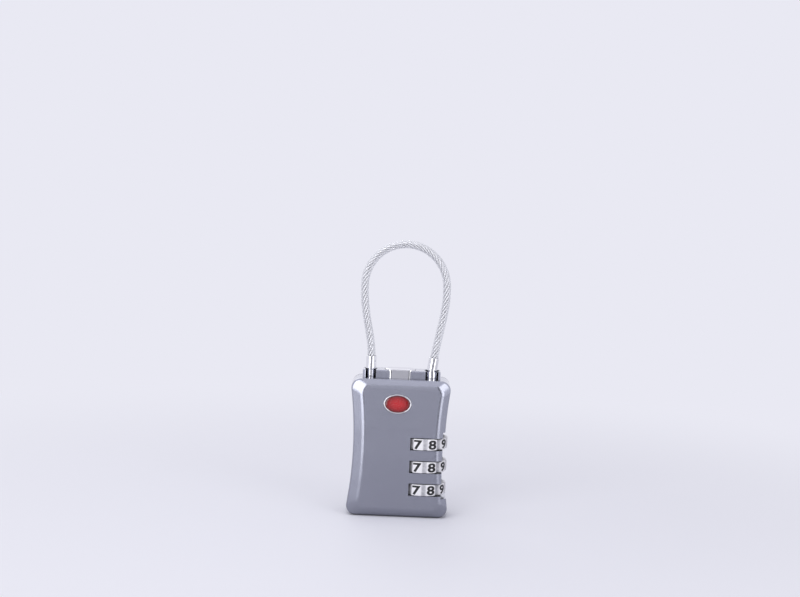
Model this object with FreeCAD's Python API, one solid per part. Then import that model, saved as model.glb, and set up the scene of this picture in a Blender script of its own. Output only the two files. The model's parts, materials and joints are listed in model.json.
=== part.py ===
"""Three-dial cable luggage lock with an inspection keyway, in millimetres.

+Z runs up towards the cable loop, the front face looks along -Y, and the origin is the middle of the base.
Every function below returns one named sub-part, and the loop at the end writes each to parts/NODE.step.
"""
import FreeCAD
import Part
import math
import os

V = FreeCAD.Vector
X_AXIS = V(1, 0, 0)
Y_AXIS = V(0, 1, 0)
Z_AXIS = V(0, 0, 1)

# ---- driving dimensions ----
# dials, their sleeves and the spindle through them
dial_count = 3
dial_radius = 7.4
dial_height = 3.5
dial_pitch = 7.15
first_dial_z = 9.0
dial_positions = 10
digit_lean_deg = 4.0        # digits sit this far clockwise of an even split about the front
dial_proud = 0.9            # how far a dial stands out of the front, the back and the side
dial_side_gap = 0.35
dial_end_gap = 0.2
scallop_radius = 1.1
scallop_depth = 0.45
dial_edge = 0.3
sleeve_radius = 3.5
sleeve_gap = 1.15           # between two sleeves, where a washer lies
sleeve_flange = 1.2
sleeve_counterbore = 2.85
sleeve_dial_gap = 0.15
sleeve_bore_gap = 0.4
gate_width = 1.4
gate_step_deg = 72.0
spindle_radius = 1.3
fin_radius = 2.6
fin_width = 1.1
fin_height = 1.0
washer_thickness = 0.5
end_plug_height = 4.2
running_gap = 0.06

# release button, its yoke and the latch
button_travel = 1.6
button_half_width = 4.65
button_x = -0.5
button_front = -3.15
button_back = 2.2
button_corner = 2.1
button_flange = 0.55
button_flange_height = 1.0
button_above_neck = 0.4
button_gap = 0.15
button_edge = 0.5
yoke_thickness = 1.6
yoke_bar = 1.6
stem_left = 0.7             # from the button's middle to the stem's left edge
stem_right = 1.5
ramp_reach = 3.0            # how far the 45 degree ramp runs, along X and along Z
latch_height = 2.2
latch_half_depth = 3.1
latch_rail = 0.9
latch_nose_half = 1.1
latch_end_bar = 0.9
stem_rise = 5.8             # from the yoke's bar up to the latch

# cable, ferrules and socket
cable_diameter = 2.5
rope_diameter = 2.06
ferrule_radius = 1.62
ferrule_length = 4.2
ferrule_edge = 0.2
ferrule_lean_foot = 3.0     # how far the leaning ferrule starts below the cable's end
stub_radius = 1.45
plug_radius = 1.6
plug_waist_radius = 1.0
plug_head = 2.2
plug_taper = 0.5
bush_wall = 0.34
anchor_inset = 4.6          # from the waist's side wall to the fixed ferrule's axis
socket_inset = 4.8
anchor_pin_radius = 0.6

# inspection key cylinder
key_plug_radius = 2.9
cylinder_wall = 0.6
cylinder_length = 12.7
tail_radius = 1.0
cam_reach = 2.0
cam_hub_radius = 1.3
cylinder_pin_radius = 0.5
wafer_count = 5
wafer_thickness = 0.5
wafer_pitch = 2.0
keyway_width = 0.9
keyway_height = 3.8
wafer_half_width = 1.0
wafer_window_half = 0.55
wafer_window_reach = 1.5
wafer_step = 0.3            # how much the windows differ in height
tail_square = 1.3
cam_lobe_radius = 0.8
cylinder_sunk = 0.3

# body shell
side_radius = 125.0
waist_z = 22.5
left_wall = 2.55
top_wall = 1.8
corner_radius = 3.0
front_bevel = 1.5
left_bevel_width = 3.2
right_bevel_width = 2.2
top_bevel_width = 1.7
bottom_bevel_width = 2.0
back_bevel = 1.0
ridge_round = 3.0
edge_round = 0.8
side_relief = 0.6
parting_width = 0.22        # the groove where the two halves meet
parting_depth = 0.16
neck_height = 2.6
neck_half_depth = 3.2
neck_end_inset = 2.1        # from the waist's side wall to the neck's ends
neck_corner = 1.2
neck_edge = 0.45
neck_root = 0.6             # how far the neck reaches down into the body
screw_radius = 0.75
screw_head_radius = 1.3
screw_head_height = 0.7
screw_inset = 1.3
screw_foot = 1.8            # how far the shank reaches in front of the middle plane
cross_length = 1.7
cross_width = 0.32
cross_depth = 0.4
screw_sunk = 0.1
badge_half_width = 4.35
badge_half_height = 3.1
badge_depth = 0.7
badge_rim = 0.5
badge_proud = 0.35
badge_x = -0.9

# springs
spring_wire = 0.2
button_spring_radius = 1.2
button_spring_turns = 6
button_spring_depth = 6.4   # its pocket's depth below the yoke's channel
latch_spring_radius = 1.0
latch_spring_turns = 3
detent_thickness = 0.3
detent_width = 2.4

slack = 0.1                 # clearance between a sliding piece and its channel

# ---- places worked out from the sizes above ----
sleeve_height = dial_pitch - sleeve_gap
dial_z = [first_dial_z + dial_pitch * i for i in range(dial_count)]
stack_top = dial_z[-1] + sleeve_height / 2
stack_bore = sleeve_radius + sleeve_bore_gap
arm_floor = stack_top + 0.3
arm_low = arm_floor + button_travel + 0.2
arm_high = arm_low + yoke_bar
latch_low = arm_high + stem_rise
latch_high = latch_low + latch_height
flange_low = latch_high + 0.5 + button_travel
flange_high = flange_low + button_flange_height
ceiling = flange_high + slack
body_height = ceiling + top_wall
neck_top = body_height + neck_height
button_top = neck_top + button_above_neck

cylinder_radius = key_plug_radius + 0.07 + cylinder_wall
key_bore = cylinder_radius + 0.05
tail_bore = tail_radius + 0.15
spring_pocket = button_spring_radius + spring_wire + 0.15
key_to_arm = tail_bore + 1.25
arm_to_detent = 0.2 + 1.5 + spring_pocket + 0.75
detent_room = 1.9
body_width = (left_wall + key_bore + key_to_arm + arm_to_detent + detent_room
              + 2 * dial_radius - dial_proud)
waist_half = body_width / 2
body_half_depth = dial_radius - dial_proud
key_x = -waist_half + left_wall + key_bore
arm_left = key_x + key_to_arm
spring_x = arm_left + 1.7
spring_floor = arm_floor - button_spring_depth
detent_left = arm_left + arm_to_detent
dial_x = detent_left + detent_room + dial_radius
split_y = max(stack_bore, key_bore) + 0.2
bars_right = waist_half - side_relief
anchor_x = -(waist_half - anchor_inset)
socket_x = waist_half - socket_inset
bush_radius = plug_radius + running_gap + bush_wall

nose_tip = socket_x - plug_radius - slack
frame_right = nose_tip - 3.5
stem_x0 = button_x - stem_left
stem_x1 = button_x + stem_right
ramp_low = latch_low - 0.6
ramp_left = stem_x0 - ramp_reach
ramp_gap = 0.15
window_right = stem_x1 + button_travel + 0.2
cam_slot_left = key_x - cam_reach - slack
cam_slot_right = key_x + cam_hub_radius + button_travel + slack
latch_left = cam_slot_left - latch_end_bar
latch_channel_left = latch_left - 2.4
plug_low = latch_low - plug_head
anchor_pin_z = latch_high + 2.8
cylinder_pin_z = cylinder_length / 2
badge_z = body_height - 7.4
mouth_z = neck_top - 0.2 + ferrule_length
plug_seat = neck_top + 0.3
screw_places = [(side * (waist_half - screw_inset), z)
                for side in (-1, 1) for z in (3.4, body_height - 2.6)]

# the cable's route: X, and Z above the body's top; both ends stand in their ferrules
loop_route = [
    (anchor_x, 3.8), (anchor_x, 8.4), (-10.5, 14.0), (-11.8, 19.8), (-12.5, 25.9), (-12.4, 32.4),
    (-9.0, 38.2), (-3.2, 41.6), (3.6, 41.6), (9.4, 38.2), (12.8, 32.4), (13.1, 25.9),
    (12.4, 19.9), (11.3, 14.4), (socket_x + 0.85, 8.9), (socket_x + 0.2, 4.2),
]


# ---- helpers ----
def box(x0, x1, y0, y1, z0, z1):
    return Part.makeBox(x1 - x0, y1 - y0, z1 - z0, V(x0, y0, z0))


def rod(x, y, z0, z1, radius):
    return Part.makeCylinder(radius, z1 - z0, V(x, y, z0), Z_AXIS)


def rod_y(x, z, y0, y1, radius):
    return Part.makeCylinder(radius, y1 - y0, V(x, y0, z), Y_AXIS)


def prism_xz(points, y0, y1):
    """Closed outline in X and Z, carried from y0 to y1."""
    wire = Part.makePolygon([V(x, y0, z) for x, z in points + points[:1]])
    return Part.Face(wire).extrude(V(0, y1 - y0, 0))


def prism_xy(points, z0, z1):
    wire = Part.makePolygon([V(x, y, z0) for x, y in points + points[:1]])
    return Part.Face(wire).extrude(V(0, 0, z1 - z0))


def round_plan(x0, x1, y0, y1, z0, z1, radius):
    """A box whose four upright edges are rounded."""
    block = box(x0, x1, y0, y1, z0, z1)
    upright = [e for e in block.Edges if abs(e.Vertexes[0].Z - e.Vertexes[-1].Z) > 1e-6]
    return block.makeFillet(radius, upright)


def polygon_prism(x, radius, sides, z0, z1):
    step = 2 * math.pi / sides
    points = [(x + radius * math.cos(step * k), radius * math.sin(step * k)) for k in range(sides)]
    return prism_xy(points, z0, z1)


def oval_plate(half_width, half_height, y0, y1):
    """An elliptical plate on the badge's centre, from y0 to y1."""
    ellipse = Part.Ellipse(V(0, 0, 0), half_width, half_height).toShape()
    plate = Part.Face(Part.Wire(ellipse)).extrude(V(0, 0, y1 - y0))
    plate.rotate(V(0, 0, 0), X_AXIS, -90)
    plate.translate(V(badge_x, y0, badge_z))
    return plate


def coil(radius, wire, length, turns):
    """A closed helical spring from z = wire to length - wire, about the Z axis."""
    helix = Part.makeHelix((length - 2 * wire) / turns, length - 2 * wire, radius)
    section = Part.Wire(Part.makeCircle(wire, V(radius, 0, 0), Y_AXIS))
    spring = Part.Wire(helix.Edges).makePipeShell([section], True, True)
    spring.translate(V(0, 0, wire))
    return spring


def corner(centre_x, corner_z, radius, rise, side):
    """One rounded corner of the outline: its ends on the flat and on the curved side, and its middle."""
    side_centre = V(side * (waist_half + side_radius), 0, waist_z)
    centre = V(centre_x, 0, corner_z)
    to_side = (side_centre - centre).normalize()
    to_flat = V(0, 0, rise)
    middle = (to_side + to_flat).normalize()
    return centre + to_flat * radius, centre + middle * radius, centre + to_side * radius


def body_wire(y, left, right, low, high, radius):
    """The lock's outline at depth y: flat ends, hollow sides and round corners, moved in by four insets."""
    z0, z1 = low, body_height - high
    ends = {}
    for side, inset in ((-1, left), (1, right)):
        reach = side_radius + inset + radius
        for rise, z in ((-1, z0 + radius), (1, z1 - radius)):
            x = side * (waist_half + side_radius - math.sqrt(reach ** 2 - (waist_z - z) ** 2))
            ends[side, rise] = corner(x, z, radius, rise, side)
    waist = {-1: V(-(waist_half - left), 0, waist_z), 1: V(waist_half - right, 0, waist_z)}
    bl, br, tr, tl = ends[-1, -1], ends[1, -1], ends[1, 1], ends[-1, 1]
    edges = [
        Part.LineSegment(bl[0], br[0]), Part.Arc(br[0], br[1], br[2]), Part.Arc(br[2], waist[1], tr[2]),
        Part.Arc(tr[2], tr[1], tr[0]), Part.LineSegment(tr[0], tl[0]), Part.Arc(tl[0], tl[1], tl[2]),
        Part.Arc(tl[2], waist[-1], bl[2]), Part.Arc(bl[2], bl[1], bl[0]),
    ]
    wire = Part.Wire([e.toShape() for e in edges])
    wire.translate(V(0, y, 0))
    return wire


def outer_body():
    """The whole outside of the lock's body before it is hollowed and split."""
    front_y = -body_half_depth
    rim_y = front_y + front_bevel
    back_rim_y = body_half_depth - back_bevel
    rim = body_wire(rim_y, 0, 0, 0, 0, corner_radius)
    face = body_wire(front_y, left_bevel_width, right_bevel_width, bottom_bevel_width,
                     top_bevel_width, corner_radius)
    back_rim = body_wire(back_rim_y, 0, 0, 0, 0, corner_radius)
    back_face = body_wire(body_half_depth, back_bevel, back_bevel, back_bevel, back_bevel, corner_radius)
    middle = Part.Face(rim).extrude(V(0, back_rim_y - rim_y, 0))
    front = Part.makeLoft([rim, face], True, True)
    back = Part.makeLoft([back_rim, back_face], True, True)
    body = middle.fuse([front, back]).removeSplitter()
    body = round_edges(body, front_y, ridge_round)
    body = round_edges(body, rim_y, edge_round)
    return round_edges(body, body_half_depth, back_bevel / 2)


def round_edges(shape, y, radius):
    """Rounds every edge that lies in the plane at depth y."""
    edges = [e for e in shape.Edges
             if all(abs(p.y - y) < 1e-4 for p in e.discretize(3))]
    return shape.makeFillet(radius, edges)


def neck():
    """The raised rib on the body's top that the button and both cable ends stand in."""
    half = waist_half - neck_end_inset
    rib = round_plan(-half, half, -neck_half_depth, neck_half_depth, body_height - neck_root,
                     neck_top, neck_corner)
    top = [e for e in rib.Edges if all(abs(v.Z - neck_top) < 1e-6 for v in e.Vertexes)]
    return rib.makeFillet(neck_edge, top)


def button_plan(z0, z1, grow):
    left = button_x - button_half_width - grow
    right = button_x + button_half_width + grow
    return round_plan(left, right, button_front - grow, button_back + grow, z0, z1, button_corner + grow)


def parting_groove():
    """A shallow groove right round the body, on the plane where its two halves meet."""
    low_y = split_y - parting_width / 2
    ring = Part.Face(body_wire(low_y, -1, -1, -1, -1, corner_radius)).extrude(V(0, parting_width, 0))
    depth = parting_depth
    core = Part.Face(body_wire(low_y, depth, depth, depth, depth, corner_radius)).extrude(V(0, parting_width, 0))
    return ring.cut(core)


def dial_slots():
    """Round pockets for the dials, open through the right-hand side, and the detent strips' pockets."""
    slots = []
    radius = dial_radius + dial_side_gap
    right = waist_half + 10
    for z in dial_z:
        half = dial_height / 2 + dial_end_gap
        top, bottom = V(dial_x, radius, z - half), V(dial_x, -radius, z - half)
        edges = [
            Part.Arc(top, V(dial_x - radius, 0, z - half), bottom),
            Part.LineSegment(bottom, V(right, -radius, z - half)),
            Part.LineSegment(V(right, -radius, z - half), V(right, radius, z - half)),
            Part.LineSegment(V(right, radius, z - half), top),
        ]
        outline = Part.Wire([e.toShape() for e in edges])
        slots.append(Part.Face(outline).extrude(V(0, 0, 2 * half)))
        detent_half = detent_width / 2 + 0.15
        slots.append(box(detent_left, dial_x - dial_radius + 0.7, -3.2, split_y,
                         z - detent_half, z + detent_half))
    return slots


def inner_cuts():
    """Everything hollow inside the body, one solid for each channel or bore."""
    y_back = split_y
    stem_depth = yoke_thickness / 2 + 0.2
    latch_depth = latch_half_depth + slack
    low = latch_low - slack
    high = latch_high + slack
    notch_z = body_height - 0.1
    return dial_slots() + [
        rod(dial_x, 0, -1, arm_floor, stack_bore),
        rod(dial_x, 0, arm_floor - 1, arm_low + 0.2, spindle_radius + 0.2),
        box(arm_left, dial_x + 1.5, -stem_depth, y_back, arm_floor, arm_high + 0.2),
        box(stem_x0 - 0.2, stem_x1 + 0.2, -stem_depth, y_back, arm_high, low),
        box(ramp_left + 0.6, stem_x1 + 0.2, -stem_depth, y_back, ramp_low - button_travel - 0.3, low),
        rod(spring_x, 0, spring_floor, arm_low, spring_pocket),
        box(latch_channel_left, frame_right + 0.75, -latch_depth, y_back, low, high),
        box(frame_right, nose_tip + 0.1, -latch_nose_half - slack, y_back, low, high),
        box(button_x - button_half_width - 0.9, button_x + button_half_width + 0.9,
            button_front - 0.35 - button_flange / 2, y_back, latch_high, ceiling),
        button_plan(ceiling - 1, button_top + 1, button_gap),
        rod(socket_x, 0, plug_low - 0.7, button_top, bush_radius + 0.03),
        rod(socket_x, 0, notch_z, button_top, bush_radius + 0.3),
        box(socket_x - bush_radius, socket_x + bush_radius, -neck_half_depth - 1, 0, notch_z, button_top),
        rod(anchor_x, 0, latch_high + 1.0, button_top, stub_radius + 0.05),
        rod(anchor_x, 0, notch_z, button_top, ferrule_radius + 0.35),
        box(anchor_x - ferrule_radius, anchor_x + ferrule_radius, -neck_half_depth - 1, 0,
            notch_z, button_top),
        rod_y(anchor_x, anchor_pin_z, -neck_half_depth, y_back, anchor_pin_radius),
        rod(key_x, 0, -1, cylinder_length + 0.9, key_bore),
        rod(key_x, 0, cylinder_length, low, tail_bore),
        rod_y(key_x, cylinder_pin_z, cylinder_radius, y_back, cylinder_pin_radius),
        box(bars_right, waist_half + 10, -dial_radius, dial_radius,
            dial_z[0] - dial_height / 2 - 1.0, dial_z[-1] + dial_height / 2 + 2.0),
    ]


# ---- body shell ----
def hollow_body():
    body = outer_body().fuse(neck())
    screws = [rod_y(x, z, -screw_foot - 0.2, body_half_depth + 1, screw_radius + 0.05)
              for x, z in screw_places]
    heads = [rod_y(x, z, body_half_depth - screw_head_height - screw_sunk, body_half_depth + 1,
                   screw_head_radius + slack) for x, z in screw_places]
    badge = oval_plate(badge_half_width + 0.05, badge_half_height + 0.05,
                       -body_half_depth - 1, -body_half_depth + badge_depth)
    for tool in inner_cuts() + screws + heads + [badge, parting_groove()]:
        body = body.cut(tool)
    return body


def housing(body):
    return body.common(box(-50, 50, -50, split_y, -1, neck_top + 5))


def back_cover(body):
    """The back plate, with two ribs that keep the latch and the yoke in their channels."""
    plate = body.common(box(-50, 50, split_y, 50, -1, neck_top + 5))
    latch_rib = box(latch_channel_left + 0.3, frame_right + 0.5, latch_half_depth + 0.15, split_y,
                    latch_low + 0.1, latch_high - 0.1)
    yoke_face = yoke_thickness / 2 + 0.15
    arm_rib = box(spring_x + spring_pocket + 0.2, dial_x - spindle_radius - 0.4, yoke_face, split_y,
                  arm_floor + 0.3, arm_high)
    stem_rib = box(stem_x0, stem_x1, yoke_face, split_y, arm_high - 0.1, latch_low - 0.4)
    return plate.fuse([latch_rib, arm_rib, stem_rib])


def cover_screws():
    """Four countersunk screws with cross recesses, as separate solids."""
    screws = []
    face = body_half_depth - screw_sunk
    long_half, short_half = cross_length / 2, cross_width / 2
    for x, z in screw_places:
        head = rod_y(x, z, face - screw_head_height, face, screw_head_radius)
        shank = rod_y(x, z, -screw_foot, face - 0.1, screw_radius)
        cross = [box(x - across, x + across, face - cross_depth, face + 1, z - up, z + up)
                 for across, up in ((long_half, short_half), (short_half, long_half))]
        screws.append(head.fuse(shank).cut(cross))
    return Part.makeCompound(screws)


def badge_ring():
    floor = -body_half_depth + badge_depth
    front = -body_half_depth - badge_proud
    outer = oval_plate(badge_half_width, badge_half_height, front, floor)
    inner = oval_plate(badge_half_width - badge_rim, badge_half_height - badge_rim, front - 1, floor + 1)
    return outer.cut(inner)


def badge_disc():
    floor = -body_half_depth + badge_depth
    front = -body_half_depth - badge_proud + 0.1
    gap = badge_rim + 0.03
    plate = oval_plate(badge_half_width - gap, badge_half_height - gap, front, floor)
    rim = [e for e in plate.Edges if all(abs(p.y - front) < 1e-6 for p in e.discretize(3))]
    return plate.makeFillet(0.3, rim)


# ---- dials ----
def dial(z):
    """A number wheel: ten scallops between its digits, and a ten-sided bore that carries its sleeve."""
    low = z - dial_height / 2
    wheel = Part.makeCylinder(dial_radius, dial_height, V(dial_x, 0, low), Z_AXIS)
    wheel = wheel.makeChamfer(dial_edge, [e for e in wheel.Edges if e.Curve.TypeId == "Part::GeomCircle"])
    reach = dial_radius + scallop_radius - scallop_depth
    step = 360.0 / dial_positions
    cuts = []
    for k in range(dial_positions):
        angle = math.radians(-90 + digit_lean_deg + step * k)
        cuts.append(rod(dial_x + reach * math.cos(angle), reach * math.sin(angle), low - 1,
                        z + dial_height, scallop_radius))
    bore = polygon_prism(dial_x, sleeve_radius + sleeve_dial_gap, dial_positions, low - 1, z + dial_height)
    return wheel.cut(cuts + [bore])


def dial_sleeve(z, index):
    """The code sleeve inside a dial: a gated flange below, a counterbore for the spindle's fin above."""
    low = z - sleeve_height / 2
    sleeve = polygon_prism(dial_x, sleeve_radius, dial_positions, low, low + sleeve_height)
    gate = box(dial_x, dial_x + sleeve_counterbore, -gate_width / 2, gate_width / 2,
               low - 1, low + sleeve_flange + 1)
    gate.rotate(V(dial_x, 0, 0), Z_AXIS, gate_step_deg * (index + 1))
    return sleeve.cut([
        rod(dial_x, 0, low - 1, low + sleeve_height, spindle_radius + running_gap),
        rod(dial_x, 0, low + sleeve_flange, low + sleeve_height + 1, sleeve_counterbore),
        gate,
    ])


def sleeve_washers():
    """A washer in each gap between two sleeves."""
    washers = []
    for z in dial_z[:-1]:
        gap_low = z + sleeve_height / 2
        low = gap_low + (sleeve_gap - washer_thickness) / 2
        ring = rod(dial_x, 0, low, low + washer_thickness, sleeve_radius - 0.1)
        washers.append(ring.cut(rod(dial_x, 0, low - 1, low + 2, fin_radius + 0.15)))
    return Part.makeCompound(washers)


def stack_end_plug():
    """Closes the stack's bore at the base and guides the spindle's foot."""
    plug = rod(dial_x, 0, 0.2, 0.2 + end_plug_height, stack_bore - 0.03)
    return plug.cut(rod(dial_x, 0, 0.7, 1 + end_plug_height, spindle_radius + running_gap))


def spindle():
    foot = 0.8 + button_travel
    fins = []
    for z in dial_z:
        low = z - sleeve_height / 2 + sleeve_flange + button_travel + 0.3
        fins.append(box(dial_x, dial_x + fin_radius, -fin_width / 2, fin_width / 2, low, low + fin_height))
    return rod(dial_x, 0, foot, arm_low, spindle_radius).fuse(fins)


def detent_spring(z):
    """A bent strip whose nose drops into one of the dial's scallops."""
    nose = math.radians(180 - 18 + digit_lean_deg)
    tip = dial_radius - scallop_depth + 0.1
    tip_x = dial_x + tip * math.cos(nose) - detent_thickness / 2
    tip_y = tip * math.sin(nose)
    seat = detent_left + 0.05 + detent_thickness / 2
    line = [(seat, -3.0), (seat, -1.2), (seat + 0.7, tip_y - 1.2), (tip_x, tip_y - 0.2),
            (tip_x, tip_y + 0.2), (seat + 0.5, tip_y + 1.4), (seat, split_y - 0.2)]
    half = detent_thickness / 2
    outline = [(x - half, y) for x, y in line] + [(x + half, y) for x, y in reversed(line)]
    return prism_xy(outline, z - detent_width / 2, z + detent_width / 2)


# ---- button, yoke and latch ----
def release_button():
    cap = button_plan(flange_low, button_top, 0)
    top = [e for e in cap.Edges if all(abs(v.Z - button_top) < 1e-6 for v in e.Vertexes)]
    cap = cap.makeFillet(button_edge, top)
    left = button_x - button_half_width - button_flange
    right = button_x + button_half_width + button_flange
    front = button_front - button_flange / 2
    flange = round_plan(left, right, front, button_back + button_flange, flange_low, flange_high, 1.0)
    return cap.fuse(flange)


def button_yoke():
    """A stamping: its stem carries the 45 degree ramp, and its bar bears on the spindle and on the spring."""
    bar_left = arm_left + 0.2
    bar_right = dial_x + spindle_radius
    outline = [
        (ramp_left, flange_low), (stem_x1, flange_low), (stem_x1, arm_high), (bar_right, arm_high),
        (bar_right, arm_low), (bar_left, arm_low), (bar_left, arm_high), (stem_x0, arm_high),
        (stem_x0, ramp_low), (ramp_left, ramp_low + ramp_reach),
    ]
    return prism_xz(outline, -yoke_thickness / 2, yoke_thickness / 2)


def latch_bolt():
    """A sliding frame: the yoke's ramp and the key's cam each draw it back through a window."""
    half = latch_half_depth
    frame = box(latch_left, frame_right, -half, half, latch_low, latch_high)
    nose = box(frame_right - 0.5, nose_tip, -latch_nose_half, latch_nose_half, latch_low, latch_high)
    cam_window = box(cam_slot_left, cam_slot_right, -half + latch_rail, half - latch_rail,
                     latch_low - 1, latch_high + 1)
    rise = 1.0
    low_x = stem_x0 - (latch_low - rise - ramp_low) - ramp_gap
    high_x = low_x - latch_height - 2 * rise
    ramp_window = [(low_x, latch_low - rise), (window_right, latch_low - rise),
                   (window_right, latch_high + rise), (high_x, latch_high + rise)]
    depth = yoke_thickness / 2 + 0.2
    return frame.fuse(nose).cut([cam_window, prism_xz(ramp_window, -depth, depth)])


def button_spring():
    spring = coil(button_spring_radius, spring_wire, arm_low - spring_floor - slack,
                  button_spring_turns)
    spring.translate(V(spring_x, 0, spring_floor + 0.05))
    return spring


def latch_spring():
    """Lies along X between the latch's end and the channel's end."""
    length = latch_left - latch_channel_left - slack
    spring = coil(latch_spring_radius - spring_wire, spring_wire * 0.75, length, latch_spring_turns)
    spring.rotate(V(0, 0, 0), Y_AXIS, 90)
    spring.translate(V(latch_channel_left + 0.05, 0, (latch_low + latch_high) / 2))
    return spring


# ---- cable and its ends ----
def socket_bush():
    """The plug's guide, windowed where the latch's nose enters."""
    low = plug_low - 0.6
    bush = rod(socket_x, 0, low, neck_top - 0.3, bush_radius)
    window = box(socket_x - bush_radius - 1, socket_x - plug_waist_radius,
                 -latch_nose_half - slack, latch_nose_half + slack, latch_low - slack, latch_high + slack)
    return bush.cut([rod(socket_x, 0, low - 1, neck_top + 1, plug_radius + running_gap), window])


def anchor_ferrule():
    """The fixed cable end: a crimped sleeve over a stub that a cross pin holds in the body."""
    low = latch_high + 1.2
    shoulder = mouth_z - ferrule_length
    sleeve = rod(anchor_x, 0, shoulder, mouth_z, ferrule_radius)
    rims = [e for e in sleeve.Edges if e.Curve.TypeId == "Part::GeomCircle"]
    sleeve = sleeve.makeFillet(ferrule_edge, rims)
    cord_end = body_height + loop_route[0][1]
    return sleeve.fuse(rod(anchor_x, 0, low, shoulder + 0.3, stub_radius)).cut([
        rod(anchor_x, 0, cord_end, mouth_z + 1, cable_diameter / 2 + running_gap),
        rod_y(anchor_x, anchor_pin_z, -5, 5, anchor_pin_radius + 0.03),
    ])


def anchor_pin():
    return rod_y(anchor_x, anchor_pin_z, -neck_half_depth + 0.1, split_y - 0.05, anchor_pin_radius - 0.03)


def plug_pin():
    """The free cable end's pin: a waist for the latch, and a tapered head below it."""
    pin = rod(socket_x, 0, plug_low, plug_seat, plug_radius)
    foot = [e for e in pin.Edges if all(abs(v.Z - plug_low) < 1e-6 for v in e.Vertexes)
            and e.Curve.TypeId == "Part::GeomCircle"]
    pin = pin.makeChamfer(plug_taper, foot)
    waist = rod(socket_x, 0, latch_low - 0.3, latch_high + 0.3, plug_radius + 1)
    return pin.cut(waist.cut(rod(socket_x, 0, latch_low - 2, latch_high + 2, plug_waist_radius)))


def route_points():
    return [V(x, 0, body_height + z) for x, z in loop_route]


def plug_ferrule():
    """The free end's crimped sleeve, leaning with the cable where it leaves the pin."""
    points = route_points()
    end = points[-1]
    along = (points[-2] - end).normalize()
    foot = end - along * ferrule_lean_foot
    length = ferrule_lean_foot + (mouth_z - end.z) / along.z
    sleeve = Part.makeCylinder(ferrule_radius, length, foot, along)
    top = foot + along * length
    rims = [e for e in sleeve.Edges if e.Curve.TypeId == "Part::GeomCircle"
            and (e.Curve.Center - top).Length < 1e-6]
    sleeve = sleeve.makeFillet(ferrule_edge, rims)
    bore = Part.makeCylinder(cable_diameter / 2 + running_gap, length, end, along)
    below = box(socket_x - 5, socket_x + 5, -5, 5, end.z - 10, plug_seat)
    return sleeve.cut([bore, below])


def cable_path():
    """Straight runs joined by tangent arcs, each as large as its two runs allow, and the arcs' radii."""
    points = route_points()
    edges = []
    radii = []
    start = points[0]
    for before, here, after in zip(points, points[1:], points[2:]):
        arrive = (here - before).normalize()
        leave = (after - here).normalize()
        half_turn = arrive.getAngle(leave) / 2
        tangent = 0.45 * min((here - before).Length, (after - here).Length)
        radius = tangent / math.tan(half_turn)
        inward = (leave - arrive).normalize()
        centre = here + inward * (radius / math.cos(half_turn))
        arc_start = here - arrive * tangent
        arc_end = here + leave * tangent
        edges.append(Part.LineSegment(start, arc_start).toShape())
        edges.append(Part.Arc(arc_start, centre - inward * radius, arc_end).toShape())
        radii.append(radius)
        start = arc_end
    edges.append(Part.LineSegment(start, points[-1]).toShape())
    return Part.Wire(edges), radii


def cable_tube(radius):
    path, _ = cable_path()
    section = Part.Wire(Part.makeCircle(radius, route_points()[0], Z_AXIS))
    return path.makePipeShell([section], True, True)


def cable_rope():
    return cable_tube(rope_diameter / 2)


def cable_jacket():
    return cable_tube(cable_diameter / 2).cut(cable_tube(rope_diameter / 2 + 0.03))


# ---- inspection key cylinder ----
def cylinder_shell():
    shell = rod(key_x, 0, cylinder_sunk, cylinder_sunk + cylinder_length, cylinder_radius)
    return shell.cut([
        rod(key_x, 0, -1, 2 + cylinder_length, key_plug_radius + 0.07),
        rod_y(key_x, cylinder_pin_z, 0, split_y, cylinder_pin_radius + 0.03),
    ])


def wafer_levels():
    first = cylinder_sunk + cylinder_length / 2 - wafer_pitch * (wafer_count - 1) / 2
    return [first + wafer_pitch * k for k in range(wafer_count)]


def wafer_half_height():
    return math.sqrt(key_plug_radius ** 2 - (wafer_half_width + slack) ** 2) - 0.15


def key_plug():
    """The turning barrel: a keyway up its middle and one cross slot for each wafer."""
    top = 0.2 + cylinder_length
    plug = rod(key_x, 0, 0.4, top, key_plug_radius)
    keyway = box(key_x - keyway_width / 2, key_x + keyway_width / 2,
                 -keyway_height / 2, keyway_height / 2, 0, top - 0.8)
    reach = wafer_half_height() + 0.05
    half = wafer_thickness / 2 + 0.05
    across = wafer_half_width + 0.05
    slots = [box(key_x - across, key_x + across, -reach, reach, z - half, z + half) for z in wafer_levels()]
    return plug.cut([keyway] + slots)


def key_wafers():
    """Flat wafers, each windowed at its own height for the key's cuts."""
    wafers = []
    reach = wafer_half_height()
    for k, z in enumerate(wafer_levels()):
        shift = wafer_step * ((k * 2) % 3 - 1)
        plate = box(key_x - wafer_half_width, key_x + wafer_half_width, -reach, reach,
                    z - wafer_thickness / 2, z + wafer_thickness / 2)
        window = box(key_x - wafer_window_half, key_x + wafer_window_half,
                     shift - wafer_window_reach, shift + wafer_window_reach, z - 1, z + 1)
        wafers.append(plate.cut(window))
    return Part.makeCompound(wafers)


def key_tail():
    """The tail that carries the barrel's turn up to the latch; its top is square for the cam."""
    low = 0.2 + cylinder_length
    disc = rod(key_x, 0, low, low + 0.5, key_plug_radius)
    shaft = rod(key_x, 0, low, latch_low, tail_radius)
    half = tail_square / 2
    square = box(key_x - half, key_x + half, -half, half, latch_low - 0.5, latch_high)
    return disc.fuse([shaft, square])


def key_cam():
    """A lobe on the tail: a quarter turn swings it from the back towards the latch's end."""
    low = latch_low + slack
    high = latch_high - slack
    hub = rod(key_x, 0, low, high, cam_hub_radius)
    tip_y = cam_reach - cam_lobe_radius
    arm = box(key_x - cam_lobe_radius, key_x + cam_lobe_radius, 0, tip_y, low, high)
    tip = rod(key_x, tip_y, low, high, cam_lobe_radius)
    half = tail_square / 2 + 0.03
    return hub.fuse([arm, tip]).cut(box(key_x - half, key_x + half, -half, half, low - 1, high + 1))


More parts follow.
